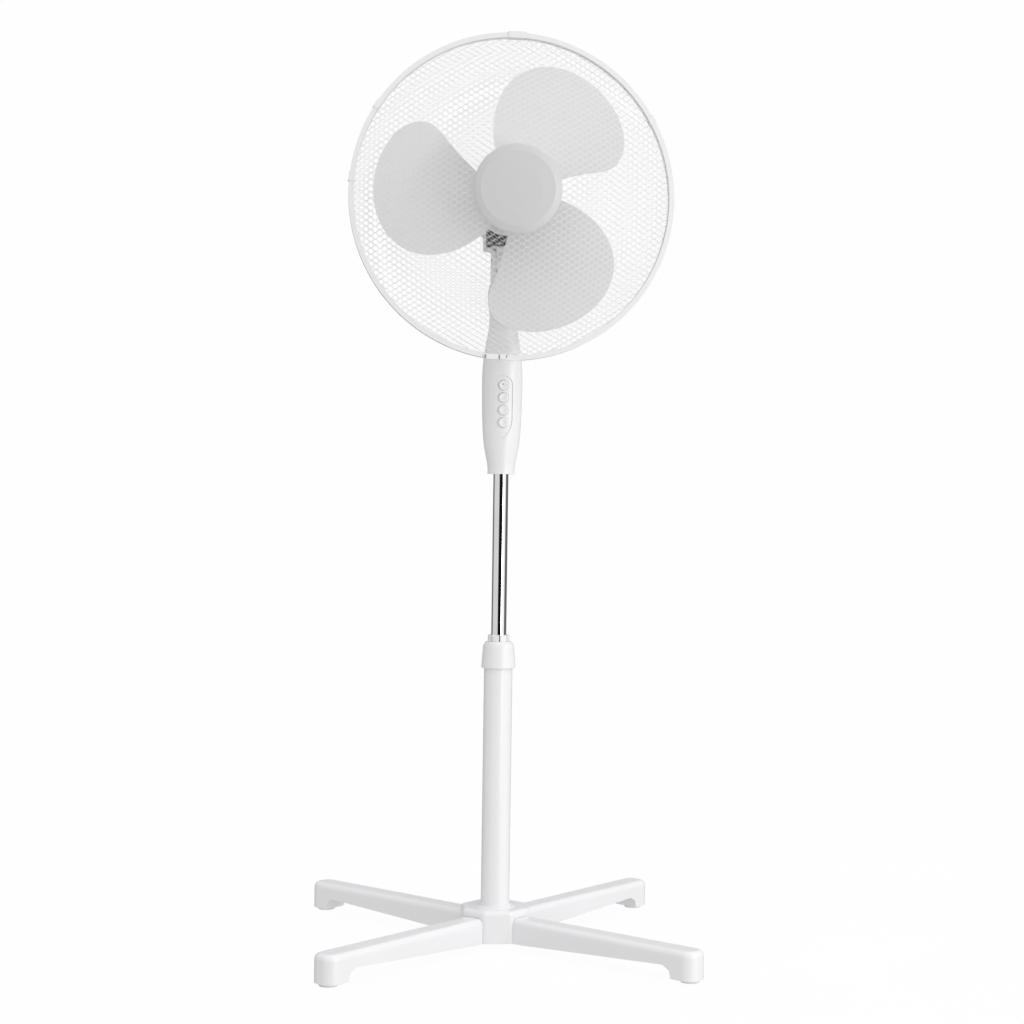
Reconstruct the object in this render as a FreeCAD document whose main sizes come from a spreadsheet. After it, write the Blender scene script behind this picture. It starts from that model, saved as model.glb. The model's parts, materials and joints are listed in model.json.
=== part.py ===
import FreeCAD, Part
import math
import os
from types import SimpleNamespace

import Sketcher

# Pedestal fan: a cross base of four plug-in legs, a telescopic column, a push-button control
# box and a tilting, oscillating head with a three-bladed propeller behind a mesh guard.
# Millimetres. +Z is up, the fan faces -Y, and the origin is on the floor on the column's axis.

BASE = {
    "hub_apothem": 45.9,
    "hub_floor": 8.0,
    "hub_top": 51.0,
    "hub_collar_radius": 27.0,
    "hub_collar_height": 1.5,
    "hub_ring_radius": 21.8,
    "hub_ring_height": 4.0,
    "leg_start": 26.0,
    "leg_end": 337.8,
    "leg_width": 34.0,
    "leg_tip_width": 38.0,
    "leg_top": 41.2,
    "leg_tip_top": 40.8,
    "leg_seat": 10.5,
    "leg_floor": 8.0,
    "leg_arch": 20.0,
    "leg_crown": 8.0,
    "leg_tip_round": 16.0,
    "leg_play": 0.3,
    "leg_screw_circle": 38.0,
    "foot_length": 32.8,
    "pad_circle": 322.1,
    "pad_radius": 12.5,
    "pad_height": 4.0,
}
COLUMN = {
    "lower_tube_radius": 19.4,
    "lower_tube_bore": 17.9,
    "lower_tube_bottom": 12.0,
    "lower_tube_top": 391.5,
    "collar_bottom": 376.5,
    "collar_top": 412.5,
    "collar_radius": 23.3,
    "collar_shoulder": 21.2,
    "collet_radius": 14.8,
    "collet_top": 421.5,
    "chrome_radius": 10.25,
    "chrome_bore": 9.25,
    "chrome_bottom": 240.0,
    "chrome_top": 690.0,
}
CONTROL_BOX = {
    "box_wall": 2.2,
    "panel_top": 774.0,
    "panel_waist": 717.0,
    "panel_tip": 689.0,
    "panel_width": 25.0,
    "panel_recess": 1.0,
    "button_radius": 7.0,
    "button_lowest": 710.6,
    "button_pitch": 16.9,
    "button_face": -22.9,
    "gland_height": 660.0,
    "gland_bore": 3.3,
}
# Height, half width and half depth of the barrel's oval sections, from its foot to its neck.
BOX_SECTIONS = (
    (641.0, 18.7, 16.0),
    (671.0, 22.4, 19.0),
    (711.0, 26.4, 21.5),
    (753.0, 27.5, 22.0),
    (796.0, 26.2, 21.0),
    (825.0, 21.8, 18.6),
    (853.0, 18.6, 16.6),
    (900.0, 18.0, 16.0),
)
HEAD = {
    "tilt_height": 930.0,
    "tilt_radius": 16.0,
    "fork_gap": 12.0,
    "shaft_height": 1003.5,
    "shaft_radius": 4.0,
    "housing_radius": 41.0,
    "housing_front": -47.0,
    "housing_back": 85.0,
    "housing_seam": -5.0,
    "housing_wall": 2.4,
    "pod_radius": 26.0,
    "pod_back": 34.0,
    "pod_floor": 949.0,
    "bracket_radius": 20.0,
    "yaw_pin_radius": 6.0,
    "wheel_side": 15.2,
    "wheel_back": 34.0,
    "crank_back": 46.0,
    "crank_throw": 5.0,
}
GUARD = {
    "ring_radius": 214.3,
    "ring_band": 6.5,
    "ring_width": 12.0,
    "ring_plane": -104.0,
    "rim_radius": 210.0,
    "rim_wire": 2.3,
    "guard_front": -182.0,
    "guard_back": -50.0,
    "mesh_edge": 209.0,
    "mesh_sheet": 0.4,
    "badge_radius": 57.0,
    "blade_plane": -110.0,
    "blade_depth": 42.0,
    "blade_hub": 28.0,
    "blade_hub_front": -131.0,
    "blade_hub_length": 48.0,
    "blade_sheet": 2.4,
}
# Radius, and angle from the leading edge, of the points that one blade's edge runs through.
BLADE_EDGE = (
    (24.0, 14.0),
    (60.0, 7.2),
    (111.3, 2.6),
    (145.0, 2.2),
    (163.0, 8.0),
    (177.0, 21.0),
    (182.2, 39.4),
    (174.6, 59.6),
    (155.8, 72.4),
    (114.5, 85.9),
    (57.5, 98.3),
    (24.0, 107.0),
)
BLADE_ANGLES = (136.5, 16.5, -103.5)
CORNERS = {"front_left": -135.0, "front_right": -45.0, "rear_left": 135.0, "rear_right": 45.0}

SIZES = {**BASE, **COLUMN, **CONTROL_BOX, **HEAD, **GUARD}
for level, (height, half_width, half_depth) in enumerate(BOX_SECTIONS):
    SIZES[f"section_height_{level}"] = height
    SIZES[f"section_width_{level}"] = half_width
    SIZES[f"section_depth_{level}"] = half_depth

doc = FreeCAD.newDocument("PedestalFan")


class Size:
    """A length in millimetres together with the formula on the sheet that gives it."""

    def __init__(self, value, formula):
        self.value = value
        self.formula = formula

    def __add__(self, other):
        other = as_size(other)
        return Size(self.value + other.value, f"({self.formula} + {other.formula})")

    def __sub__(self, other):
        other = as_size(other)
        return Size(self.value - other.value, f"({self.formula} - {other.formula})")

    def __mul__(self, other):
        other = as_size(other)
        return Size(self.value * other.value, f"({self.formula} * {other.formula})")

    def __truediv__(self, other):
        other = as_size(other)
        return Size(self.value / other.value, f"({self.formula} / {other.formula})")

    def __radd__(self, other):
        return as_size(other) + self

    def __rsub__(self, other):
        return as_size(other) - self

    def __rmul__(self, other):
        return as_size(other) * self

    def __neg__(self):
        return Size(-self.value, f"(-{self.formula})")


def as_size(number):
    """A plain number as a Size, so that both can be used alike."""
    if isinstance(number, Size):
        return number
    return Size(float(number), f"({float(number)!r})")


def make_sheet():
    """The sheet of driving sizes, and each of them as a Size by name."""
    sheet = doc.addObject("Spreadsheet::Sheet", "Sizes")
    for row, (alias, value) in enumerate(SIZES.items(), start=1):
        sheet.set(f"A{row}", alias)
        sheet.set(f"B{row}", str(value))
        sheet.setAlias(f"B{row}", alias)
    doc.recompute()
    return SimpleNamespace(**{alias: Size(value, f"Sizes.{alias}") for alias, value in SIZES.items()})


dim = make_sheet()
parts = []


# ---------------------------------------------------------------- drawing helpers


def bind(thing, name, size):
    """Ties a property to the sheet."""
    thing.setExpression(name, as_size(size).formula)


def place(thing, at=(0, 0, 0), turn=None):
    """Moves an object to a bound place. turn is an axis and an angle in degrees."""
    if turn:
        axis, angle = turn
        thing.Placement = FreeCAD.Placement(
            FreeCAD.Vector(*(as_size(size).value for size in at)),
            FreeCAD.Rotation(FreeCAD.Vector(*axis), angle),
        )
    for letter, size in zip("xyz", at):
        bind(thing, f"Placement.Base.{letter}", size)
    return thing


def keep(thing, label):
    """Names a finished piece and puts it on the list of parts."""
    thing.Label = label
    parts.append(thing)
    return thing


def new_body(name):
    return doc.addObject("PartDesign::Body", name)


def origin_plane(body, role):
    for feature in body.Origin.OriginFeatures:
        if feature.Role == role:
            return feature
    raise ValueError(role)


def new_sketch(body, role, offset=0):
    """An empty sketch on one of the body's own planes, moved along its normal."""
    sketch = body.newObject("Sketcher::SketchObject", body.Name + "_sketch")
    sketch.AttachmentSupport = (origin_plane(body, role), "")
    sketch.MapMode = "FlatFace"
    bind(sketch, "AttachmentOffset.Base.z", offset)
    return sketch


def bind_point(sketch, edge, end, point):
    """Holds one end of a line, or a circle's centre, at bound coordinates."""
    for kind, size in zip(("DistanceX", "DistanceY"), point):
        size = as_size(size)
        number = sketch.addConstraint(Sketcher.Constraint(kind, -1, 1, edge, end, size.value))
        sketch.setExpression(f"Constraints[{number}]", size.formula)


def draw_outline(sketch, points):
    """A closed outline of straight runs with every corner bound to the sheet."""
    corners = [tuple(as_size(size) for size in point) for point in points]
    first = sketch.GeometryCount
    vectors = [FreeCAD.Vector(across.value, up.value, 0) for across, up in corners]
    for start, end in zip(vectors, vectors[1:] + vectors[:1]):
        sketch.addGeometry(Part.LineSegment(start, end), False)
    last = sketch.GeometryCount - 1
    for edge in range(first, last + 1):
        following = first if edge == last else edge + 1
        sketch.addConstraint(Sketcher.Constraint("Coincident", edge, 2, following, 1))
    for edge, corner in enumerate(corners, start=first):
        bind_point(sketch, edge, 1, corner)


def draw_circle(sketch, centre, radius):
    radius = as_size(radius)
    middle = FreeCAD.Vector(as_size(centre[0]).value, as_size(centre[1]).value, 0)
    edge = sketch.addGeometry(Part.Circle(middle, FreeCAD.Vector(0, 0, 1), radius.value), False)
    number = sketch.addConstraint(Sketcher.Constraint("Radius", edge, radius.value))
    sketch.setExpression(f"Constraints[{number}]", radius.formula)
    bind_point(sketch, edge, 3, centre)


def rectangle(low, high):
    return [low, (high[0], low[1]), high, (low[0], high[1])]


def pad(body, sketch, length, symmetric=False, reverse=False):
    feature = body.newObject("PartDesign::Pad", body.Name + "_pad")
    feature.Profile = sketch
    bind(feature, "Length", length)
    feature.SideType = "Symmetric" if symmetric else "One side"
    feature.Reversed = reverse
    return feature


def pocket(body, sketch, depth, symmetric=False, reverse=False):
    """Cuts a sketch into the body, and makes sure that it did cut."""
    doc.recompute()
    before = body.Shape.Volume
    feature = body.newObject("PartDesign::Pocket", body.Name + "_pocket")
    feature.Profile = sketch
    bind(feature, "Length", depth)
    feature.SideType = "Symmetric" if symmetric else "One side"
    feature.Reversed = reverse
    doc.recompute()
    if body.Shape.Volume > before - 0.1:
        raise ValueError(f"{feature.Name} cuts nothing")
    return feature


def repeat_round(body, feature, count):
    """Repeats a feature of the body evenly round its own vertical axis."""
    pattern = body.newObject("PartDesign::PolarPattern", body.Name + "_pattern")
    pattern.Originals = [feature]
    pattern.Axis = (origin_plane(body, "Z_Axis"), [""])
    pattern.Angle = 360
    pattern.Occurrences = count
    body.Tip = pattern
    doc.recompute()
    return pattern


def dress(body, kind, edges, size):
    """A fillet or a chamfer on the edges of the body's tip that a test picks."""
    doc.recompute()
    base = body.Tip
    names = [f"Edge{number}" for number, edge in enumerate(base.Shape.Edges, start=1) if edges(edge)]
    feature = body.newObject(f"PartDesign::{kind}", f"{body.Name}_{kind.lower()}")
    feature.Base = (base, names)
    bind(feature, "Radius" if kind == "Fillet" else "Size", size)
    doc.recompute()
    return feature


def turned(name, points, axis="Z", at=(0, 0, 0)):
    """A turned piece from (radius, place along the axis) points."""
    body = new_body(name)
    sketch = new_sketch(body, "XZ_Plane" if axis == "Z" else "XY_Plane")
    if axis == "X":
        points = [(along, radius) for radius, along in points]
    draw_outline(sketch, points)
    feature = body.newObject("PartDesign::Revolution", name + "_revolution")
    feature.Profile = sketch
    feature.ReferenceAxis = (sketch, ["H_Axis" if axis == "X" else "V_Axis"])
    feature.Angle = 360
    return place(body, at)


def tube_points(bore, radius, low, high):
    return [(bore, low), (radius, low), (radius, high), (bore, high)]


AXIS_TURNS = {"X": ((0, 1, 0), 90), "Y": ((1, 0, 0), -90), "Z": None}


def cylinder(name, radius, length, at=(0, 0, 0), axis="Z"):
    """A cylinder that runs from at along the positive direction of an axis."""
    thing = doc.addObject("Part::Cylinder", name)
    bind(thing, "Radius", radius)
    bind(thing, "Height", length)
    return place(thing, at, AXIS_TURNS[axis])


def block(name, low, high):
    """A box between two corners."""
    thing = doc.addObject("Part::Box", name)
    for side, start, end in zip(("Length", "Width", "Height"), low, high):
        bind(thing, side, as_size(end) - as_size(start))
    return place(thing, low)


def fuse(name, *pieces):
    thing = doc.addObject("Part::MultiFuse", name)
    thing.Shapes = list(pieces)
    return thing


def cut(name, base, *tools):
    thing = doc.addObject("Part::Cut", name)
    thing.Base = base
    thing.Tool = tools[0] if len(tools) == 1 else fuse(name + "_tools", *tools)
    return thing


def common(name, *pieces):
    thing = doc.addObject("Part::MultiCommon", name)
    thing.Shapes = list(pieces)
    return thing


def group(name, *pieces):
    thing = doc.addObject("Part::Compound", name)
    thing.Links = list(pieces)
    return thing


def screw(name, head, shank, at, axis="Z", back=False):
    """A pan-head screw. head and shank are (radius, length); the head's outer face is at at."""
    head_radius, head_length = head
    shank_radius, shank_length = shank
    along = "XYZ".index(axis)
    head_at = list(at)
    shank_at = list(at)
    if back:
        head_at[along] = at[along] - head_length
        shank_at[along] = at[along] - head_length - shank_length
    else:
        shank_at[along] = at[along] + head_length
    return fuse(
        name,
        cylinder(name + "_head", head_radius, head_length, head_at, axis),
        cylinder(name + "_shank", shank_radius, shank_length, shank_at, axis),
    )


def round_about(angle, distance):
    """A point on a circle round the column, as bound X and Y."""
    radians = math.radians(angle)
    return distance * math.cos(radians), distance * math.sin(radians)


# ---------------------------------------------------------------- base


def octagon(apothem):
    half = apothem * math.tan(math.radians(22.5))
    corners = [(apothem, half), (half, apothem)]
    corners += [(-half, apothem), (-apothem, half)]
    corners += [(-apothem, -half), (-half, -apothem)]
    corners += [(half, -apothem), (apothem, -half)]
    return corners


def leg_section(body, along, width, top, floor):
    """The leg's upright oblong section at a distance from the column."""
    sketch = new_sketch(body, "YZ_Plane", along)
    draw_outline(sketch, rectangle((-width / 2, floor), (width / 2, top)))
    return sketch


def make_socket(name, angle):
    """The space that a leg's inner end fills in the hub, with a little play."""
    play = dim.leg_play
    length = 40
    top = dim.leg_top + play
    body = new_body(name)
    section = leg_section(body, dim.leg_start - play, dim.leg_width + 2 * play, top, dim.leg_seat)
    pad(body, section, length)
    dress(body, "Fillet", is_long_top_edge(length, top.value), dim.leg_crown)
    return place(body, turn=((0, 0, 1), angle))


def is_long_top_edge(length, height):
    def test(edge):
        box = edge.BoundBox
        return box.XLength > length - 1 and box.ZMin > height - 0.1
    return test


def make_hub():
    """The octagonal hub that the four legs plug into and the lower tube stands in."""
    body = new_body("hub_block")
    outline = new_sketch(body, "XY_Plane", dim.hub_floor)
    draw_outline(outline, octagon(dim.hub_apothem))
    pad(body, outline, dim.hub_top - dim.hub_floor)
    dress(body, "Fillet", is_upright, 9)
    dress(body, "Fillet", is_above(dim.hub_top), 6)
    add_boss(body, dim.hub_collar_radius, dim.hub_collar_height, 1.2)
    add_boss(body, dim.hub_ring_radius, dim.hub_ring_height, 0.9)
    sockets = [make_socket(f"socket_{corner}", angle) for corner, angle in CORNERS.items()]
    bore = cylinder("hub_bore", dim.lower_tube_radius + 0.05, 60, (0, 0, dim.lower_tube_bottom))
    bolt_hole = cylinder("hub_bolt_hole", 4.2, 20)
    bolt_seat = cylinder("hub_bolt_seat", 10, dim.hub_floor + 1.5)
    holes = []
    for corner, angle in CORNERS.items():
        at = round_about(angle, dim.leg_screw_circle)
        holes.append(cylinder(f"hub_screw_hole_{corner}", 2.3, 12, (*at, 0)))
    keep(cut("hub", body, *sockets, bore, bolt_hole, bolt_seat, *holes), "base_hub")


def add_boss(body, radius, height, rounding):
    """A round step on the hub's top, with its upper edge rounded."""
    sketch = new_sketch(body, "XY_Plane", dim.hub_top)
    draw_circle(sketch, (0, 0), radius)
    pad(body, sketch, height)
    dress(body, "Fillet", is_above(dim.hub_top + height), rounding)


def is_upright(edge):
    """A test for the hub's eight upright edges."""
    box = edge.BoundBox
    return box.ZLength > 20 and box.XLength < 0.1 and box.YLength < 0.1


def is_above(height):
    """A test for the edges that lie at a height or over it."""
    return lambda edge: edge.BoundBox.ZMin > height.value - 0.01


def make_leg(corner, angle):
    """One leg: a hollow arched beam that ends in a solid round foot."""
    body = new_body("leg_body_" + corner)
    section = leg_section(body, dim.leg_start, dim.leg_tip_width, dim.leg_top, dim.pad_height)
    pad(body, section, dim.leg_end - dim.leg_start)
    slope = new_sketch(body, "XZ_Plane")
    draw_outline(slope, [
        (dim.leg_start, dim.leg_top), (dim.leg_end, dim.leg_tip_top),
        (dim.leg_end, dim.leg_top + 1), (dim.leg_start, dim.leg_top + 1),
    ])
    pocket(body, slope, 80, symmetric=True)
    sides = new_sketch(body, "XY_Plane")
    room = dim.leg_tip_width / 2 + 1
    for side in (1, -1):
        draw_outline(sides, [
            (dim.leg_start, side * dim.leg_width / 2), (dim.leg_end, side * dim.leg_tip_width / 2),
            (dim.leg_end, side * room), (dim.leg_start, side * room),
        ])
    pocket(body, sides, 60, reverse=True)
    dress(body, "Fillet", is_leg_tip, dim.leg_tip_round)
    dress(body, "Fillet", is_leg_crown, dim.leg_crown)
    foot = dim.leg_end - dim.foot_length
    hook = dim.hub_apothem + 0.4
    arch = new_sketch(body, "XZ_Plane")
    draw_outline(arch, [
        (20, 0), (foot, 0), (foot, dim.pad_height), (foot - 2, dim.leg_arch - 6),
        (foot - 13, dim.leg_arch), (60, dim.leg_floor), (hook, dim.leg_floor),
        (hook, dim.leg_seat), (20, dim.leg_seat),
    ])
    pocket(body, arch, 80, symmetric=True)
    dress(body, "Fillet", is_notch_corner, 5)
    channel = new_sketch(body, "XY_Plane")
    half = dim.leg_width / 2 - 3
    draw_outline(channel, rectangle((62, -half), (foot - 16, half)))
    pocket(body, channel, dim.leg_tip_top - 6, reverse=True)
    for along, radius, depth in ((dim.pad_circle, 4.0, 10.0), (dim.leg_screw_circle, 1.9, 26.0)):
        hole = new_sketch(body, "XY_Plane")
        draw_circle(hole, (along, 0), radius)
        pocket(body, hole, depth, reverse=True)
    keep(place(body, turn=((0, 0, 1), angle)), "leg_" + corner)


def is_leg_tip(edge):
    """The two upright edges at the beam's outer end."""
    box = edge.BoundBox
    return box.XMin > dim.leg_end.value - 0.5 and box.YLength < 1


def is_leg_crown(edge):
    """The edges of the beam's top, except the one inside the hub."""
    box = edge.BoundBox
    on_top = box.ZMin > dim.leg_top.value - 1
    inner_end = box.XMax < dim.leg_start.value + 1
    return on_top and not inner_end


def is_notch_corner(edge):
    """The two cross edges in the roof of the notch in front of the foot."""
    box = edge.BoundBox
    roof = dim.leg_arch.value
    across = box.YLength > dim.leg_width.value / 2 and box.XLength < 0.1
    return across and box.XMin > dim.pad_circle.value - 40 and roof - 7 < box.ZMin < roof + 0.1


def make_foot_pad(corner, angle):
    """A round rubber pad with a stud that presses into the foot."""
    height = dim.pad_height
    points = [
        (0, 0), (dim.pad_radius - 1, 0), (dim.pad_radius, 1), (dim.pad_radius, height),
        (3.9, height), (3.9, height + 5), (0, height + 5),
    ]
    return turned("pad_" + corner, points, at=(*round_about(angle, dim.pad_circle), 0))


def make_base():
    make_hub()
    pads = []
    screws = []
    for corner, angle in CORNERS.items():
        make_leg(corner, angle)
        pads.append(make_foot_pad(corner, angle))
        at = (*round_about(angle, dim.leg_screw_circle), dim.hub_floor - 1.6)
        screws.append(screw("leg_screw_" + corner, (4.0, 1.6), (1.85, 17.5), at))
    keep(group("pads", *pads), "foot_pads")
    keep(group("screws_of_legs", *screws), "leg_screws")
    seat = dim.hub_floor + 1.4
    bolt = [
        (0, seat - 4.9), (6.5, seat - 4.9), (6.5, seat - 1.5), (9, seat - 1.5), (9, seat),
        (3.95, seat), (3.95, seat + 23), (0, seat + 23),
    ]
    keep(turned("bolt", bolt), "column_bolt")


# ---------------------------------------------------------------- column


def make_collet():
    """The split sleeve in the mouth of the lower tube that the collar squeezes."""
    bore = dim.chrome_radius + 0.06
    top = dim.lower_tube_top
    points = [
        (bore, top - 40), (dim.lower_tube_bore - 0.05, top - 40), (dim.lower_tube_bore - 0.05, top),
        (dim.lower_tube_radius - 0.5, top), (dim.lower_tube_radius - 0.8, top + 2),
        (dim.collet_radius, top + 15), (dim.collet_radius, dim.collet_top - 1),
        (dim.collet_radius - 1, dim.collet_top), (bore, dim.collet_top),
    ]
    body = turned("collet_body", points)
    slot = new_sketch(body, "XZ_Plane")
    draw_outline(slot, rectangle((-0.8, top + 4), (0.8, dim.collet_top + 1)))
    slot_cut = pocket(body, slot, 20)
    repeat_round(body, slot_cut, 8)
    keep(body, "collet_sleeve")


def make_collar():
    """The threaded clamping collar, with grip grooves round its skirt."""
    bottom = dim.collar_bottom
    top = dim.collar_top
    mouth = dim.lower_tube_radius + 0.08
    body = turned("collar_body", [
        (mouth, bottom), (dim.collar_radius - 0.6, bottom), (dim.collar_radius, bottom + 0.8),
        (dim.collar_radius - 0.1, bottom + 3), (dim.collar_shoulder, top - 7),
        (dim.collar_shoulder - 1, top - 3.5), (dim.collet_radius + 2.2, top),
        (dim.collet_radius + 0.25, top), (dim.collet_radius + 0.25, top - 4),
        (mouth, dim.lower_tube_top + 2),
    ])
    keep(body, "height_collar")


def make_column():
    keep(turned("lower_tube_body", tube_points(
        dim.lower_tube_bore, dim.lower_tube_radius, dim.lower_tube_bottom, dim.lower_tube_top,
    )), "lower_tube")
    keep(turned("tube_plug_body", tube_points(
        4.0, dim.lower_tube_bore - 0.02, dim.lower_tube_bottom, dim.lower_tube_bottom + 14,
    )), "lower_tube_plug")
    make_collet()
    make_collar()
    keep(turned("chrome_body", tube_points(
        dim.chrome_bore, dim.chrome_radius, dim.chrome_bottom, dim.chrome_top,
    )), "chrome_tube")
    keep(turned("glide_body", tube_points(
        dim.chrome_radius, dim.lower_tube_bore - 0.08, dim.chrome_bottom, dim.chrome_bottom + 24,
    )), "tube_glide")


# ---------------------------------------------------------------- control box


def barrel(name, inset, floor=0):
    """The control box's oval barrel, smaller all round by inset, as a solid."""
    ovals = []
    for level in range(len(BOX_SECTIONS)):
        oval = doc.addObject("Part::Ellipse", f"{name}_oval_{level}")
        bind(oval, "MajorRadius", getattr(dim, f"section_width_{level}") - inset)
        bind(oval, "MinorRadius", getattr(dim, f"section_depth_{level}") - inset)
        height = getattr(dim, f"section_height_{level}")
        place(oval, (0, 0, height + floor if level == 0 else height))
        ovals.append(oval)
    loft = doc.addObject("Part::Loft", name)
    loft.Sections = ovals
    loft.Solid = True
    loft.Ruled = False
    return loft


def leaf(name, grow):
    """The prism of the panel's leaf outline: a round head, straight sides and a pointed foot."""
    half_width = dim.panel_width / 2
    shoulder = dim.panel_top - half_width
    waist = dim.panel_waist
    reach = waist - dim.panel_tip
    foot_radius = (reach * reach + half_width * half_width) / (2 * half_width)
    half = half_width + grow
    head = cylinder(name + "_head", half, 40, (0, -40, shoulder), "Y")
    middle = block(name + "_middle", (-half, -40, waist), (half, 0, shoulder))
    arcs = []
    for side, direction in (("left", 1), ("right", -1)):
        at = ((foot_radius - half_width) * direction, -40, waist)
        arcs.append(cylinder(f"{name}_{side}", foot_radius + grow, 40, at, "Y"))
    return fuse(name, head, middle, common(name + "_foot", *arcs))


def button_height(number):
    return dim.button_lowest + dim.button_pitch * number


def make_shells():
    """The front and rear shells of the barrel, with their screw bosses."""
    outer = barrel("barrel_outer", 0)
    inner = barrel("barrel_inner", dim.box_wall, 3)
    skin = cut("barrel_skin", outer, inner)
    tube_hole = cylinder("tube_hole", dim.chrome_radius + 0.1, 20, (0, 0, 630))
    front_half = block("front_half", (-40, -40, 600), (40, -0.05, 901))
    rear_half = block("rear_half", (-40, 0.05, 600), (40, 40, 901))
    bosses = {"front": [], "rear": []}
    screw_holes = []
    screws = []
    for name, across, height in (("top", 0, 852), ("left", -17, 694), ("right", 17, 694)):
        front_boss = cylinder(f"front_boss_{name}", 3.5, 30, (across, -30.1, height), "Y")
        rear_boss = cylinder(f"rear_boss_{name}", 3.5, 30, (across, 0.1, height), "Y")
        bosses["front"].append(front_boss)
        bosses["rear"].append(rear_boss)
        screw_holes.append(cylinder(f"box_screw_hole_{name}", 1.6, 50, (across, -9, height), "Y"))
        screw_holes.append(cylinder(f"box_screw_seat_{name}", 3.0, 30, (across, 9, height), "Y"))
        at = (across, 11.2, height)
        screws.append(screw(f"box_screw_{name}", (2.8, 2), (1.5, 18), at, "Y", back=True))
    front_bosses = common("front_bosses", outer, fuse("front_boss_set", *bosses["front"]))
    rear_bosses = common("rear_bosses", outer, fuse("rear_boss_set", *bosses["rear"]))
    front = fuse("front_shell_blank", common("front_skin", skin, front_half), front_bosses)
    rear = fuse("rear_shell_blank", common("rear_skin", skin, rear_half), rear_bosses)
    opening = leaf("panel_opening", 0.15)
    keep(cut("front_shell", front, tube_hole, opening, *screw_holes), "control_box_front")
    gland_hole = cylinder("gland_hole", 8.05, 30, (0, 4, dim.gland_height), "Y")
    keep(cut("rear_shell", rear, tube_hole, gland_hole, *screw_holes), "control_box_back")
    keep(group("screws_of_box", *screws), "box_screws")
    gland = [
        (dim.gland_bore, 15), (8, 15), (8, 20.4), (7.2, 21.2), (dim.gland_bore + 0.6, 21.2),
        (dim.gland_bore, 20.6),
    ]
    keep(turned("gland", gland, "Y", at=(0, 0, dim.gland_height)), "cord_gland")


def make_panel():
    """The leaf-shaped insert, a little below the shell's face, with four button holes."""
    face = barrel("panel_face", dim.panel_recess)
    back = barrel("panel_back", dim.panel_recess + 2.2)
    sheet = cut("panel_sheet", face, back)
    holes = []
    for number in range(4):
        at = (0, -40, button_height(number))
        holes.append(cylinder(f"button_hole_{number}", dim.button_radius + 0.3, 40, at, "Y"))
    keep(cut("panel", common("panel_leaf", sheet, leaf("panel_outline", 0)), *holes), "control_panel")


def make_button(number):
    """A round push button with a hollow stem for its spring."""
    face = dim.button_face
    radius = dim.button_radius
    points = [
        (0, face), (radius - 1.5, face + 0.25), (radius - 0.4, face + 0.8), (radius, face + 1.8),
        (radius, face + 6), (4, face + 6), (4, -9.4), (3, -9.4), (3, -17), (0, -17),
    ]
    keep(turned(f"button_body_{number}", points, "Y", at=(0, 0, button_height(number))),
         f"button_{number}")


def make_spring(number):
    """A button's coil spring at its pressed length, as a closed sleeve with a ridge per coil."""
    start = -12.6
    pitch = 1.5
    points = [(1.9, start)]
    for coil in range(4):
        low = start + pitch * coil
        points += [(2.3, low), (2.7, low + pitch / 2)]
    points += [(2.3, start + 4 * pitch), (1.9, start + 4 * pitch)]
    return turned(f"button_spring_{number}", points, "Y", at=(0, 0, button_height(number)))


def make_switches():
    for number in range(4):
        make_button(number)
    keep(group("springs", *(make_spring(number) for number in range(4))), "button_springs")
    block_low = button_height(0) - 11
    block_high = button_height(3) + 11
    keep(block("switch_case", (-11.5, -6.2, block_low), (11.5, 9, block_high)), "switch_block")
    keep(block("capacitor_case", (-13, -4, 795), (13, 11, 829)), "run_capacitor")


def make_tube_clamp():
    """The sleeve inside the box that grips the top of the chrome tube."""
    sleeve = turned("clamp_sleeve", tube_points(dim.chrome_radius, 13.2, 646, dim.chrome_top + 2))
    cap = cylinder("clamp_cap", 13.2, 2, (0, 0, dim.chrome_top + 0.2))
    keep(fuse("clamp", sleeve, cap), "tube_clamp")


def make_control_box():
    make_shells()
    make_panel()
    make_switches()
    make_tube_clamp()


# ---------------------------------------------------------------- neck and tilt


def make_neck():
    """The neck that plugs into the box and ends in two round ears for the tilt bolt."""
    tilt = dim.tilt_height
    radius = dim.tilt_radius
    oval = doc.addObject("Part::Ellipse", "neck_oval")
    bind(oval, "MajorRadius", 18)
    bind(oval, "MinorRadius", radius)
    place(oval, (0, 0, 900.1))
    prism = doc.addObject("Part::Extrusion", "neck_prism")
    prism.Base = oval
    prism.Dir = FreeCAD.Vector(0, 0, 1)
    prism.Solid = True
    bind(prism, "LengthFwd", tilt + radius - 900.1)
    outline = fuse(
        "neck_outline",
        block("neck_lower", (-20, -20, 900), (20, 20, tilt)),
        cylinder("neck_round", radius, 40, (-20, 0, tilt), "X"),
    )
    plug = cylinder("neck_plug", 12.5, 27.2, (0, 0, 873))
    gap = block("fork_slot", (-dim.fork_gap, -20, tilt - radius - 0.4), (dim.fork_gap, 20, 960))
    bolt_hole = cylinder("fork_bolt_hole", 3.02, 60, (-30, 0, tilt), "X")
    head_seat = cylinder("bolt_head_seat", 6.1, 6, (-20.5, 0, tilt), "X")
    lead_hole = cylinder("lead_hole", 3.5, 60, (0, 8, 870))
    solid = fuse("neck_solid", common("neck_ears", prism, outline), plug)
    keep(cut("neck", solid, gap, bolt_hole, head_seat, lead_hole), "neck_fork")


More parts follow.
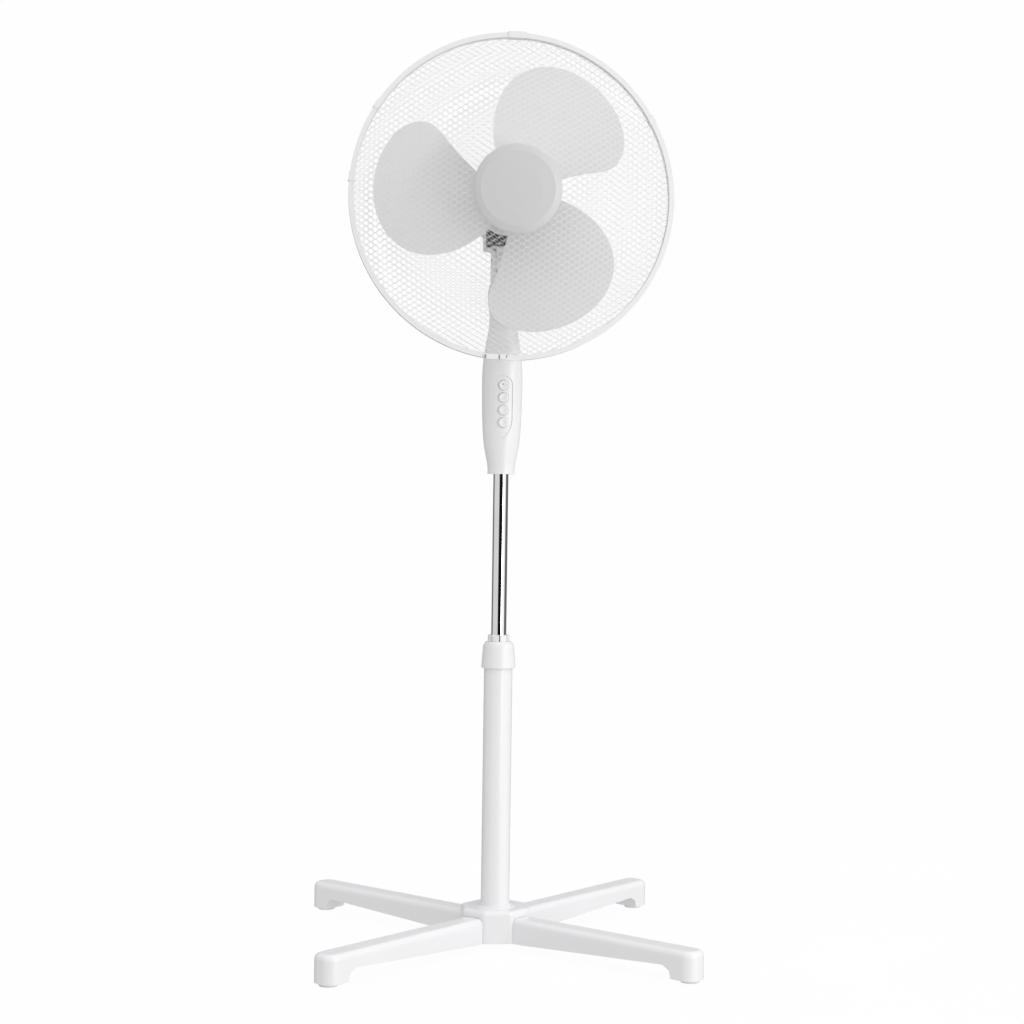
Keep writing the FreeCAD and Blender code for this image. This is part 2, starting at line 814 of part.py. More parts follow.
def make_tilt_bracket():
    """The knuckle between the ears that carries the head's swivel pin."""
    tilt = dim.tilt_height
    half = dim.fork_gap - 0.3
    tongue = cylinder("tongue_round", dim.tilt_radius - 0.3, half * 2, (-half, 0, tilt), "X")
    riser = block("tongue_riser", (-half, -13, tilt), (half, 13, 950))
    seat = cylinder("bracket_seat", dim.bracket_radius, 14.5, (0, 0, 947.5))
    post = cylinder("link_post", 2.5, 5.3, (0, 14, 960))
    bolt_hole = cylinder("tongue_bolt_hole", 3.05, 60, (-30, 0, tilt), "X")
    pin_hole = cylinder("swivel_bore", dim.yaw_pin_radius + 0.05, 40, (0, 0, 938))
    solid = fuse("bracket_solid", tongue, riser, seat, post)
    keep(cut("bracket", solid, bolt_hole, pin_hole), "tilt_bracket")


def make_tilt_knob():
    """The tightening knob at the neck's right side, with finger hollows round it."""
    tilt = dim.tilt_height
    disc = turned("knob_disc", [
        (3.06, 18.6), (8, 18.6), (8, 20), (13, 20), (14, 21), (14, 31), (12.5, 33), (3.06, 33),
    ], "X", at=(0, 0, tilt))
    hollows = []
    for number in range(8):
        angle = math.radians(45 * number)
        at = (20.5, 16 * math.cos(angle), tilt + 16 * math.sin(angle))
        hollows.append(cylinder(f"knob_hollow_{number}", 4, 20, at, "X"))
    keep(cut("knob", disc, *hollows), "tilt_knob")


def make_tilt_joint():
    make_neck()
    make_tilt_bracket()
    bolt = fuse(
        "tilt_bolt_solid",
        cylinder("tilt_bolt_head", 5.8, 2.8, (-17.4, 0, dim.tilt_height), "X"),
        cylinder("tilt_bolt_shank", 3, 47, (-14.7, 0, dim.tilt_height), "X"),
    )
    keep(bolt, "tilt_bolt")
    make_tilt_knob()


# ---------------------------------------------------------------- motor and gearbox


def housing_solid(name, inset):
    """The motor housing's round can and the pod below it, smaller all round by inset."""
    front = dim.housing_front + inset
    back = dim.housing_back - inset
    radius = dim.housing_radius - inset
    can = turned(name + "_can", [
        (0, front), (radius, front), (radius, back), (0, back),
    ], "Y", at=(0, 0, dim.shaft_height))
    dress(can, "Fillet", lambda edge: edge.BoundBox.YMin > 60, 18)
    dress(can, "Fillet", lambda edge: edge.BoundBox.YMax < -40, 4)
    pod_radius = dim.pod_radius - inset
    pod_low = dim.pod_floor + inset
    pod_length = dim.shaft_height - pod_low
    return fuse(
        name,
        can,
        cylinder(name + "_pod_front", pod_radius, pod_length, (0, 0, pod_low)),
        cylinder(name + "_pod_rear", pod_radius, pod_length, (0, dim.pod_back, pod_low)),
        block(name + "_pod", (-pod_radius, 0, pod_low), (pod_radius, dim.pod_back, dim.shaft_height)),
    )


def make_housings():
    """The dark front housing and the rear cover, split at the seam, with vents at the back."""
    skin = cut("housing_skin", housing_solid("housing_outer", 0),
               housing_solid("housing_inner", dim.housing_wall))
    seam = dim.housing_seam
    front_room = block("front_room", (-60, -60, 940), (60, seam - 0.05, 1060))
    rear_room = block("rear_room", (-60, seam + 0.05, 940), (60, 99, 1060))
    front_skin = common("front_housing_skin", skin, front_room)
    rear_skin = common("rear_housing_skin", skin, rear_room)
    boss = cylinder("nose_boss", 20, 15, (0, dim.housing_front - 14, dim.shaft_height), "Y")
    bearing_seat = cylinder("nose_seat", 9.02, 12, (0, dim.housing_front - 9, dim.shaft_height), "Y")
    shaft_hole = cylinder("nose_hole", dim.shaft_radius + 0.6, 30, (0, -70, dim.shaft_height), "Y")
    swivel_hole = cylinder("pod_hole", dim.bracket_radius + 0.4, 6, (0, 0, 947))
    front = fuse("front_housing_blank", front_skin, boss)
    keep(cut("front_housing", front, bearing_seat, shaft_hole, swivel_hole), "motor_housing_front")
    knob_hole = cylinder("stem_hole", 3, 30, (dim.wheel_side, dim.wheel_back, 1030))
    vents = []
    for number in range(-3, 4):
        reach = 25 - abs(number) * 3
        height = dim.shaft_height + 7 * number
        vents.append(block(f"vent_{number + 3}", (-reach, 78, height - 1.5), (reach, 90, height + 1.5)))
    keep(cut("rear_housing", rear_skin, swivel_hole, knob_hole, *vents), "motor_housing_rear")


def motor_ring(name, label, bore, radius, low, high):
    keep(turned(name, tube_points(bore, radius, low, high), "Y", at=(0, 0, dim.shaft_height)), label)


def make_motor():
    """The shaded-pole motor: laminations, windings, rotor, shaft and plain bearings."""
    motor_ring("stator_body", "stator", 19.2, 36.5, -38, -18)
    windings = [
        turned("winding_front", tube_points(21, 33, -43.5, -38.1), "Y", at=(0, 0, dim.shaft_height)),
        turned("winding_rear", tube_points(21, 33, -17.9, -12.5), "Y", at=(0, 0, dim.shaft_height)),
    ]
    keep(group("winding_set", *windings), "windings")
    motor_ring("rotor_body", "rotor", dim.shaft_radius, 18.8, -38, -18)
    bearings = [
        turned(f"bearing_{name}", tube_points(dim.shaft_radius + 0.04, 9, low, low + 8), "Y",
               at=(0, 0, dim.shaft_height))
        for name, low in (("front", -55.5), ("rear", -10.8))
    ]
    keep(group("bearing_pair", *bearings), "shaft_bearings")
    motor_ring("shield_body", "rear_shield", 9.02, 37.5, -10.5, -6.5)
    bar_points = [(0, -141), (dim.shaft_radius - 0.6, -141), (dim.shaft_radius, -140)]
    bar_points.append((dim.shaft_radius, 26))
    for turn in range(5):
        start = 26 + 3.2 * turn
        bar_points += [(5, start), (5, start + 1.4), (4.5, start + 1.8), (4.5, start + 2.8)]
    bar_points += [(dim.shaft_radius, 41.6), (dim.shaft_radius, 48), (0, 48)]
    bar = turned("shaft_bar", bar_points, "Y", at=(0, 0, dim.shaft_height))
    cross_hole = cylinder("shaft_cross_hole", 1.5, 20, (-10, -86, dim.shaft_height), "X")
    keep(cut("shaft", bar, cross_hole), "motor_shaft")
    keep(cylinder("cross_pin", 1.5, 20, (-10, -86, dim.shaft_height), "X"), "drive_pin")


def make_gearbox():
    """The gear case, the worm's wheel, the crank that swings the head, and the link."""
    shaft = dim.shaft_height
    side = dim.wheel_side
    back = dim.wheel_back
    outer = block("case_outer", (-19, -6.4, 978), (28, 65, 1024))
    inner = block("case_inner", (-17, -7, 981), (26, 63, 1030))
    shaft_hole = cylinder("case_shaft_hole", dim.shaft_radius + 1, 20, (0, -12, shaft), "Y")
    swivel_hole = cylinder("case_swivel_hole", dim.yaw_pin_radius, 30, (0, 0, 970))
    crank_hole = cylinder("case_crank_hole", 3.05, 30, (0, dim.crank_back, 970))
    keep(cut("case", outer, inner, shaft_hole, swivel_hole, crank_hole), "gearbox_case")
    lid = block("lid_plate", (-19, -6.4, 1024.1), (28, 65, 1026.5))
    keep(cut("lid", lid, cylinder("lid_hole", 3, 20, (side, back, 1015))), "gearbox_lid")
    pin = [(0, 939), (5.4, 939), (6, 940), (6, 981.1), (6.4, 981.1), (6.4, 984.5), (0, 984.5)]
    keep(turned("swivel_pin", pin), "swivel_pin")
    keep(turned("wheel_body", [
        (2.56, 986), (3, 986), (3, 997), (9.9, 1000), (9.9, 1007), (2.56, 1007),
    ], at=(side, back, 0)), "worm_wheel")
    keep(turned("crank_gear_body", tube_points(3, 16, 988, 994), at=(0, dim.crank_back, 0)), "crank_gear")
    crank = fuse(
        "crank_solid",
        cylinder("crank_disc", 8, 3, (0, dim.crank_back, 969)),
        cylinder("crank_spindle", 3, 26, (0, dim.crank_back, 970)),
        cylinder("crank_pin", 2, 4, (dim.crank_throw, dim.crank_back, 965.8)),
    )
    keep(crank, "crank_shaft")
    make_link()
    stem = cylinder("stem", 2.5, 56, (side, back, 990))
    cap = turned("knob_cap", [
        (0, 1045), (5.5, 1045), (7.5, 1048), (7.5, 1052), (8, 1053), (8, 1057.5), (6.8, 1059), (0, 1059),
    ], at=(side, back, 0))
    keep(fuse("pull_knob", stem, cap), "oscillation_knob")


def make_link():
    """The flat link from the bracket's post to the crank pin."""
    post = (as_size(0), as_size(14))
    pin = (dim.crank_throw, dim.crank_back)
    across = (pin[0] - post[0]).value
    along = (pin[1] - post[1]).value
    reach = math.hypot(across, along)
    bar = block("link_bar", (0, -2.2, 0), (reach, 2.2, 2))
    place(bar, (2.2 * along / reach, 14 - 2.2 * across / reach, 965.7))
    bar.Placement = FreeCAD.Placement(
        FreeCAD.Vector(2.2 * along / reach, 14 - 2.2 * across / reach, 965.7),
        FreeCAD.Rotation(FreeCAD.Vector(0, 0, 1), math.degrees(math.atan2(along, across))),
    )
    eyes = [
        cylinder("post_eye", 4.2, 2, (*post, 965.7)),
        cylinder("pin_eye", 4.2, 2, (*pin, 965.7)),
    ]
    holes = [
        cylinder("post_eye_hole", 2.6, 6, (*post, 963)),
        cylinder("pin_eye_hole", 2.05, 6, (*pin, 963)),
    ]
    keep(cut("link", fuse("link_solid", bar, *eyes), *holes), "link_rod")


# ---------------------------------------------------------------- blade and guard


def make_blade_wing(start):
    """One blade: its outline cut out of a helical sheet. start is the leading edge's angle."""
    plane = dim.blade_plane.value
    depth = dim.blade_depth.value
    sheet = dim.blade_sheet.value
    span = BLADE_EDGE[-2][1]

    def on_blade(radius, angle, along):
        turn = math.radians(start + angle)
        return FreeCAD.Vector(radius * math.cos(turn), along, radius * math.sin(turn))

    edge = Part.BSplineCurve()
    edge.interpolate([on_blade(radius, angle, plane - depth) for radius, angle in BLADE_EDGE])
    root = Part.LineSegment(edge.EndPoint, edge.StartPoint)
    outline = Part.Wire([edge.toShape(), root.toShape()])
    prism = Part.Face(outline).extrude(FreeCAD.Vector(0, 2 * depth, 0))
    sections = []
    for step in range(11):
        angle = -8 + 12 * step
        middle = plane + depth * (0.5 - angle / span)
        corners = [(10, -1), (190, -1), (190, 1), (10, 1)]
        points = [on_blade(radius, angle, middle + side * sheet / 2) for radius, side in corners]
        sections.append(Part.makePolygon(points + points[:1]))
    slab = Part.makeLoft(sections, True, False)
    return prism.common(slab)


def make_propeller():
    """Three blades moulded in one with their hub, the drive pin's slot and the shaft's bore."""
    shape = Part.makeCylinder(
        dim.blade_hub.value, dim.blade_hub_length.value,
        FreeCAD.Vector(0, dim.blade_hub_front.value, 0), FreeCAD.Vector(0, 1, 0),
    )
    shape = shape.fuse([make_blade_wing(angle) for angle in BLADE_ANGLES])
    bore = Part.makeCylinder(4.03, 120, FreeCAD.Vector(0, -160, 0), FreeCAD.Vector(0, 1, 0))
    slot = Part.makeBox(21, 8, 3.4, FreeCAD.Vector(-10.5, -88, -1.7))
    thing = doc.addObject("Part::Feature", "propeller")
    thing.Shape = shape.cut([bore, slot]).removeSplitter()
    keep(place(thing, (0, 0, dim.shaft_height)), "fan_blade")
    nut = turned("nut_body", [
        (dim.shaft_radius, -131.2), (dim.shaft_radius, -141.5), (0, -141.5), (0, -147),
        (7, -146.4), (12, -143.5), (14, -139), (14, -131.2),
    ], "Y", at=(0, 0, dim.shaft_height))
    keep(nut, "blade_nut")


def dome(name, apex, rim_depth, direction, bore):
    """A shallow round dome of mesh sheet. direction is 1 where it opens towards +Y."""
    rim = dim.rim_radius
    radius = (rim * rim + rim_depth * rim_depth) / (2 * rim_depth)
    centre = apex + radius * direction
    outer = doc.addObject("Part::Sphere", name + "_outer")
    bind(outer, "Radius", radius)
    place(outer, (0, centre, dim.shaft_height))
    inner = doc.addObject("Part::Sphere", name + "_inner")
    bind(inner, "Radius", radius - dim.mesh_sheet)
    place(inner, (0, centre, dim.shaft_height))
    start = apex - 10 if direction > 0 else apex - rim_depth - 10
    disc = cylinder(name + "_disc", dim.mesh_edge, rim_depth + 20, (0, start, dim.shaft_height), "Y")
    hole = cylinder(name + "_hole", bore, rim_depth + 40, (0, start - 5, dim.shaft_height), "Y")
    return common(name, cut(name + "_sheet", outer, inner), cut(name + "_annulus", disc, hole))


def rim_wire(name, along):
    thing = doc.addObject("Part::Torus", name)
    bind(thing, "Radius1", dim.rim_radius)
    bind(thing, "Radius2", dim.rim_wire)
    return place(thing, (0, along, dim.shaft_height), AXIS_TURNS["Y"])


def make_ring():
    """The hoop: a U channel round both rims, split at the bottom between two lugs."""
    outer = dim.ring_radius
    inner = outer - dim.ring_band
    front = dim.ring_plane - dim.ring_width / 2
    back = dim.ring_plane + dim.ring_width / 2
    wall = 1.2
    body = turned("hoop", [
        (inner, front), (outer, front), (outer, back), (inner, back), (inner, back - wall),
        (outer - wall, back - wall), (outer - wall, front + wall), (inner, front + wall),
    ], "Y", at=(0, 0, dim.shaft_height))
    split = dim.ring_radius * -0.07
    low = dim.shaft_height - outer
    lug_top = low + 7.6
    left_lug = block("left_lug", (split - 17, front - 3.6, low + 1.2), (split, front, lug_top))
    right_lug = block("right_lug", (split, front - 3.6, low + 1.2), (split + 9, front, lug_top))
    gap = block("hoop_gap", (split - 1.2, front - 10, low - 5), (split + 1.2, back + 5, low + 12))
    hole = cylinder("lug_hole", 1.1, 40, (split - 25, front - 1.8, low + 4.4), "X")
    keep(cut("ring", fuse("hoop_and_lugs", body, left_lug, right_lug), gap, hole), "grille_ring")
    screw_at = (split + 9.1 + 1.2, front - 1.8, low + 4.4)
    bolt = screw("clamp_screw", (1.7, 1.2), (1.0, 28), screw_at, "X", back=True)
    keep(bolt, "ring_screw")
    nut = turned("ring_nut_body", [
        (1.05, -1.6), (1.75, -1.6), (1.75, 0), (1.05, 0),
    ], "X", at=(split - 17.05, front - 1.8, low + 4.4))
    keep(nut, "ring_nut")


def make_clips():
    """The spring clips that hook over the hoop: at the top, the left and the upper right."""
    clips = []
    front = dim.ring_plane - dim.ring_width / 2
    back = dim.ring_plane + dim.ring_width / 2
    outer = dim.ring_radius
    inner = outer - dim.ring_band
    for number, (angle, length) in enumerate(((89, 24), (30, 11), (147, 12), (174.4, 12))):
        half = length / 2
        low = (inner - 0.6, front - 1.1, -half)
        high = (outer + 1.2, back + 1.1, half)
        shell = block(f"clip_shell_{number}", low, high)
        low = (inner - 3, front - 0.1, -length)
        high = (outer + 0.1, back + 0.1, length)
        room = block(f"clip_room_{number}", low, high)
        clip = cut(f"clip_{number}", shell, room)
        clips.append(place(clip, (0, 0, dim.shaft_height), ((0, 1, 0), -angle)))
    keep(group("clips", *clips), "grille_clips")


def make_badge():
    """The plain round centre disc and the plate that clamps it to the mesh."""
    front = dim.guard_front
    radius = dim.badge_radius
    keep(turned("badge_body", [
        (0, front - 4.2), (30, front - 3.6), (radius - 9, front - 2), (radius - 2.5, front + 0.8),
        (radius, front + 2.6), (radius, front + 4.2), (radius - 1.4, front + 4.2),
        (radius - 9, front + 0.4), (30, front - 1), (0, front - 1.6),
    ], "Y", at=(0, 0, dim.shaft_height)), "badge")
    keep(turned("badge_plate_body", [
        (0, front + 3.7), (38, front + 4.7), (38, front + 6.2), (0, front + 5.7),
    ], "Y", at=(0, 0, dim.shaft_height)), "badge_plate")


def make_guard():
    """The two mesh domes, each welded to its rim wire, and all that holds them."""
    front_rim = dim.ring_plane - 2.4
    rear_rim = dim.ring_plane + 2.4
    at = (0, 0, dim.shaft_height)
    front_dome = dome("front_dome", dim.guard_front, front_rim - dim.guard_front, 1, 30)
    keep(fuse("front_welded", front_dome, rim_wire("front_wire", front_rim)), "front_guard")
    rear_dome = dome("rear_dome", dim.guard_back, dim.guard_back - rear_rim, -1, 42)
    plate = turned("rear_plate", tube_points(20.1, 44, -52, -49.4), "Y", at=at)
    keep(fuse("rear_welded", rear_dome, rim_wire("rear_wire", rear_rim), plate), "rear_guard")
    nut = turned("grille_nut_body", tube_points(20.1, 33, -60, -52.1), "Y", at=at)
    keep(nut, "grille_nut")
    make_ring()
    make_clips()
    make_badge()


# ---------------------------------------------------------------- build, check and write


def check_document():
    """Stops if any object failed or any part has no valid shape."""
    doc.recompute()
    failed = [thing.Name for thing in doc.Objects if {"Invalid", "Error"} & set(thing.State)]
    if failed:
        raise ValueError(f"these objects failed: {failed}")
    for part in parts:
        shape = part.Shape
        if shape.isNull() or not shape.isValid() or shape.Volume <= 0:
            raise ValueError(f"{part.Label} has no valid shape")


def write_parts():
    os.makedirs("parts", exist_ok=True)
    for part in parts:
        part.Shape.exportStep(f"parts/{part.Label}.step")
        box = part.Shape.BoundBox
        print(f"{part.Label}: {len(part.Shape.Solids)} solids, {part.Shape.Volume / 1000:.2f} cm3,"
              f" z {box.ZMin:.1f} to {box.ZMax:.1f}")


make_base()
make_column()
make_control_box()
make_tilt_joint()
make_housings()
make_motor()
make_gearbox()
make_propeller()
make_guard()
check_document()
write_parts()
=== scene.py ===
"""Looks of the white pedestal fan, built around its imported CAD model.

Lengths are in metres. The floor is at z 0 and the fan's front faces -Y.
"""

import json
import math

import bpy
from mathutils import Matrix, Vector


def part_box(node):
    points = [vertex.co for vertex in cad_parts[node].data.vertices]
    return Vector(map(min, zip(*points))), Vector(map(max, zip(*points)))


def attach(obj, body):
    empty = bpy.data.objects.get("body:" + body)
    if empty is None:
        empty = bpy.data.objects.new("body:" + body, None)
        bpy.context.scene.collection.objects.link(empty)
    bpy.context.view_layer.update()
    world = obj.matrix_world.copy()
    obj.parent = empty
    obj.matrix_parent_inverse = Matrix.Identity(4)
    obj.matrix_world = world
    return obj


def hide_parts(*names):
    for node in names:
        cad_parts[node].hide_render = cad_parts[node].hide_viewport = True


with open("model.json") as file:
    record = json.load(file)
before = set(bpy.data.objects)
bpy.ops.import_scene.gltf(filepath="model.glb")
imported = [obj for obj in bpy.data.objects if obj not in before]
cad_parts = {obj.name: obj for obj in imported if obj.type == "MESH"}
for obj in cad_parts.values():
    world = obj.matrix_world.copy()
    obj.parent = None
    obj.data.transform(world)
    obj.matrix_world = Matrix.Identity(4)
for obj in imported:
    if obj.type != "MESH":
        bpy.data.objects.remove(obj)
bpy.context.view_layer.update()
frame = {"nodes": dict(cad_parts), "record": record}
NODES = frame["nodes"]


# ---------------------------------------------------------------- node trees

# Blender's noise lies mostly between these values
NOISE_LOW, NOISE_HIGH = 0.3, 0.7
# and two-tone colour turns from one tone to the other between these
TONE_LOW, TONE_HIGH = 0.32, 0.68


def add_node(tree, kind, **settings):
    """A new node of that kind with those settings."""
    node = tree.nodes.new(kind)
    for key, value in settings.items():
        setattr(node, key, value)
    return node


def new_material(name):
    """A new material, its node tree and its Principled shader."""
    material = bpy.data.materials.new(name)
    material.use_nodes = True
    tree = material.node_tree
    return material, tree, tree.nodes.get("Principled BSDF")


def noise(tree, per_metre, detail, stretch=(1.0, 1.0, 1.0)):
    """Noise in the object's own coordinates, with about that many features per metre."""
    place = add_node(tree, "ShaderNodeTexCoord")
    mapping = add_node(tree, "ShaderNodeMapping")
    mapping.inputs["Scale"].default_value = stretch
    texture = add_node(tree, "ShaderNodeTexNoise")
    texture.inputs["Scale"].default_value = per_metre
    texture.inputs["Detail"].default_value = detail
    tree.links.new(place.outputs["Object"], mapping.inputs["Vector"])
    tree.links.new(mapping.outputs["Vector"], texture.inputs["Vector"])
    return texture.outputs["Fac"]


def map_range(tree, value, from_range, to_range):
    """A value moved in proportion from one (low, high) range to another."""
    node = add_node(tree, "ShaderNodeMapRange")
    node.inputs["From Min"].default_value, node.inputs["From Max"].default_value = from_range
    node.inputs["To Min"].default_value, node.inputs["To Max"].default_value = to_range
    tree.links.new(value, node.inputs["Value"])
    return node.outputs["Result"]


def spread(tree, value, low, high):
    """Noise spread over low to high."""
    return map_range(tree, value, (NOISE_LOW, NOISE_HIGH), (low, high))


def two_tone(tree, value, first, second):
    """Colour that drifts between two close tones."""
    ramp = add_node(tree, "ShaderNodeValToRGB")
    elements = ramp.color_ramp.elements
    elements[0].position = TONE_LOW
    elements[0].color = (*first, 1.0)
    elements[1].position = TONE_HIGH
    elements[1].color = (*second, 1.0)
    tree.links.new(value, ramp.inputs["Fac"])
    return ramp.outputs["Color"]


def bump(tree, height, strength, distance, under=None):
    """A bump layer, laid over another where under is that one's normal."""
    node = add_node(tree, "ShaderNodeBump")
    node.inputs["Strength"].default_value = strength
    node.inputs["Distance"].default_value = distance
    tree.links.new(height, node.inputs["Height"])
    if under is not None:
        tree.links.new(under, node.inputs["Normal"])
    return node.outputs["Normal"]


def link_surface(tree, shader, colour, roughness, normal):
    tree.links.new(colour, shader.inputs["Base Color"])
    tree.links.new(roughness, shader.inputs["Roughness"])
    tree.links.new(normal, shader.inputs["Normal"])


# ---------------------------------------------------------------- materials
# No finish's roughness drifts across 0.274. The denoiser treats a surface below it as a
# mirror, and draws thin dark marks where one surface is partly above and partly below.


def moulded(name, light, dark, rough=0.335):
    """Injection-moulded plastic: slow tone drift, flow marks and a spark-eroded grain."""
    material, tree, shader = new_material(name)
    shader.inputs["IOR"].default_value = 1.49
    colour = two_tone(tree, noise(tree, per_metre=14.0, detail=4.0), dark, light)
    flow = noise(tree, per_metre=70.0, detail=5.0, stretch=(1.0, 1.0, 0.25))
    roughness = spread(tree, flow, low=rough - 0.045, high=rough + 0.055)
    grain = noise(tree, per_metre=1500.0, detail=2.0)
    normal = bump(tree, grain, strength=0.08, distance=0.00004)
    link_surface(tree, shader, colour, roughness, normal)
    return material


def painted(name, light, dark, rough=0.235):
    """Powder-coated steel: orange-peel waviness under a soft gloss."""
    material, tree, shader = new_material(name)
    shader.inputs["IOR"].default_value = 1.5
    colour = two_tone(tree, noise(tree, per_metre=22.0, detail=3.0), dark, light)
    patches = noise(tree, per_metre=120.0, detail=3.0)
    roughness = spread(tree, patches, low=rough - 0.03, high=rough + 0.03)
    peel = noise(tree, per_metre=420.0, detail=2.0)
    pinholes = noise(tree, per_metre=2600.0, detail=1.0)
    waves = bump(tree, peel, strength=0.22, distance=0.00006)
    normal = bump(tree, pinholes, strength=0.1, distance=0.00002, under=waves)
    link_surface(tree, shader, colour, roughness, normal)
    return material


def metal(name, light, dark, rough, along=(1.0, 1.0, 1.0), scratches_per_metre=900.0):
    """Bare or plated metal; its drawing marks are long on the axes where along is small."""
    material, tree, shader = new_material(name)
    shader.inputs["Metallic"].default_value = 1.0
    colour = two_tone(tree, noise(tree, per_metre=30.0, detail=3.0), dark, light)
    marks = noise(tree, scratches_per_metre, detail=3.0, stretch=along)
    roughness = spread(tree, marks, low=rough * 0.75, high=rough * 1.3)
    normal = bump(tree, marks, strength=0.06, distance=0.00001)
    link_surface(tree, shader, colour, roughness, normal)
    return material


def rubber(name, light, dark):
    """Moulded rubber: matt, with open pores."""
    material, tree, shader = new_material(name)
    shader.inputs["IOR"].default_value = 1.46
    pores = noise(tree, per_metre=700.0, detail=4.0)
    colour = two_tone(tree, noise(tree, per_metre=60.0, detail=5.0), dark, light)
    roughness = spread(tree, pores, low=0.68, high=0.88)
    normal = bump(tree, pores, strength=0.4, distance=0.00012)
    link_surface(tree, shader, colour, roughness, normal)
    return material


# name: (maker, light tone, dark tone, its other settings)
FINISHES = {
    "mesh_paint": (painted, (0.88, 0.88, 0.885), (0.865, 0.865, 0.87), {"rough": 0.35}),
    "white_plastic": (moulded, (0.857, 0.857, 0.868), (0.843, 0.843, 0.855), {}),
    "white_paint": (painted, (0.867, 0.867, 0.876), (0.853, 0.853, 0.863), {}),
    "panel_plastic": (moulded, (0.865, 0.865, 0.876), (0.85, 0.85, 0.86), {"rough": 0.36}),
    "button_plastic": (moulded, (0.865, 0.865, 0.875), (0.85, 0.85, 0.86), {"rough": 0.345}),
    "blade_plastic": (moulded, (0.782, 0.782, 0.784), (0.768, 0.768, 0.771), {"rough": 0.4}),
    "badge_plastic": (moulded, (0.618, 0.618, 0.621), (0.606, 0.606, 0.609), {"rough": 0.42}),
    "dark_plastic": (moulded, (0.075, 0.075, 0.08), (0.05, 0.05, 0.053), {"rough": 0.42}),
    "gear_plastic": (moulded, (0.72, 0.66, 0.52), (0.66, 0.60, 0.46), {"rough": 0.4}),
    "capacitor_case": (moulded, (0.05, 0.06, 0.09), (0.035, 0.042, 0.065), {"rough": 0.4}),
    "rubber": (rubber, (0.80, 0.80, 0.81), (0.74, 0.74, 0.75), {}),
    "grey_rubber": (rubber, (0.34, 0.34, 0.35), (0.27, 0.27, 0.28), {}),
    "chrome": (
        metal,
        (0.93, 0.935, 0.945),
        (0.89, 0.895, 0.91),
        {"rough": 0.045, "along": (1.0, 1.0, 0.03)},
    ),
    "steel": (
        metal,
        (0.72, 0.72, 0.73),
        (0.62, 0.62, 0.635),
        {"rough": 0.38, "along": (1.0, 0.05, 1.0)},
    ),
    "lamination_steel": (
        metal,
        (0.42, 0.42, 0.43),
        (0.30, 0.30, 0.31),
        {"rough": 0.42, "along": (0.1, 1.0, 0.1), "scratches_per_metre": 2400.0},
    ),
    "copper": (
        metal,
        (0.86, 0.42, 0.24),
        (0.72, 0.32, 0.17),
        {"rough": 0.2, "along": (0.1, 1.0, 1.0), "scratches_per_metre": 1800.0},
    ),
    "bronze": (metal, (0.70, 0.50, 0.26), (0.58, 0.40, 0.20), {"rough": 0.38}),
}
MATERIALS = {
    name: maker(name, light, dark, **settings)
    for name, (maker, light, dark, settings) in FINISHES.items()
}


def dress_node(name, slot_name):
    """Gives a CAD node its material; the node's own mesh is left alone."""
    node = NODES[name]
    node.data.materials.clear()
    node.data.materials.append(MATERIALS[slot_name])


SLOT_OF = {entry["node"]: entry["material_slot"] for entry in frame["record"]["subparts"]}
for node_name in NODES:
    dress_node(node_name, SLOT_OF[node_name])


# ---------------------------------------------------------------- mesh helpers
# A shape is (vertices, faces).


def new_piece(name, shape, finish, body, replaced=None, smooth=True):
    """Adds a shape as a piece that moves with a body and may stand for a CAD node."""
    vertices, faces = shape
    mesh = bpy.data.meshes.new(name)
    mesh.from_pydata(vertices, [], faces)
    mesh.validate()
    mesh.update()
    piece = bpy.data.objects.new(name, mesh)
    bpy.context.scene.collection.objects.link(piece)
    mesh.materials.append(MATERIALS[finish])
    for polygon in mesh.polygons:
        polygon.use_smooth = smooth
    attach(piece, body)
    if replaced:
        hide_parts(replaced)


def circle(count):
    """The cosine and sine of count even steps round a turn."""
    for i in range(count):
        turn = 2.0 * math.pi * i / count
        yield math.cos(turn), math.sin(turn)


def hoop(centre, radius, section, around=192):
    """A ring about the Y axis; section is a closed list of (radial, axial) offsets."""
    centre_x, centre_y, centre_z = centre
    vertices, faces = [], []
    sides = len(section)
    for cosine, sine in circle(around):
        for radial, axial in section:
            r = radius + radial
            vertices.append(Vector((centre_x + r * cosine, centre_y + axial, centre_z + r * sine)))
    for i in range(around):
        a = i * sides
        b = ((i + 1) % around) * sides
        for k in range(sides):
            n = (k + 1) % sides
            faces.append((a + k, b + k, b + n, a + n))
    return vertices, faces


def round_section(radius, sides=12):
    return [(radius * cosine, radius * sine) for cosine, sine in circle(sides)]


def bevelled_section(across, deep, flat_across, flat_deep):
    """A rectangle with cut corners; the sizes are half widths, whole and between the cuts."""
    return [
        (-across, -flat_deep),
        (-flat_across, -deep),
        (flat_across, -deep),
        (across, -flat_deep),
        (across, flat_deep),
        (flat_across, deep),
        (-flat_across, deep),
        (-across, flat_deep),
    ]


def turned_shape(profile, centre, around=48):
    """A closed shape turned about the Y axis; profile is (radius, depth) from pole to pole."""
    vertices = [centre + Vector((0.0, profile[0][1], 0.0))]
    for radius, depth in profile[1:-1]:
        for cosine, sine in circle(around):
            vertices.append(centre + Vector((radius * cosine, depth, radius * sine)))
    vertices.append(centre + Vector((0.0, profile[-1][1], 0.0)))
    last = len(vertices) - 1
    rings = len(profile) - 2
    faces = []
    for i in range(around):
        n = (i + 1) % around
        faces.append((0, 1 + i, 1 + n))
        faces.append((last, last - around + n, last - around + i))
        for ring in range(rings - 1):
            a = 1 + ring * around
            b = a + around
            faces.append((a + i, b + i, b + n, a + n))
    return vertices, faces


# ---------------------------------------------------------------- expanded metal

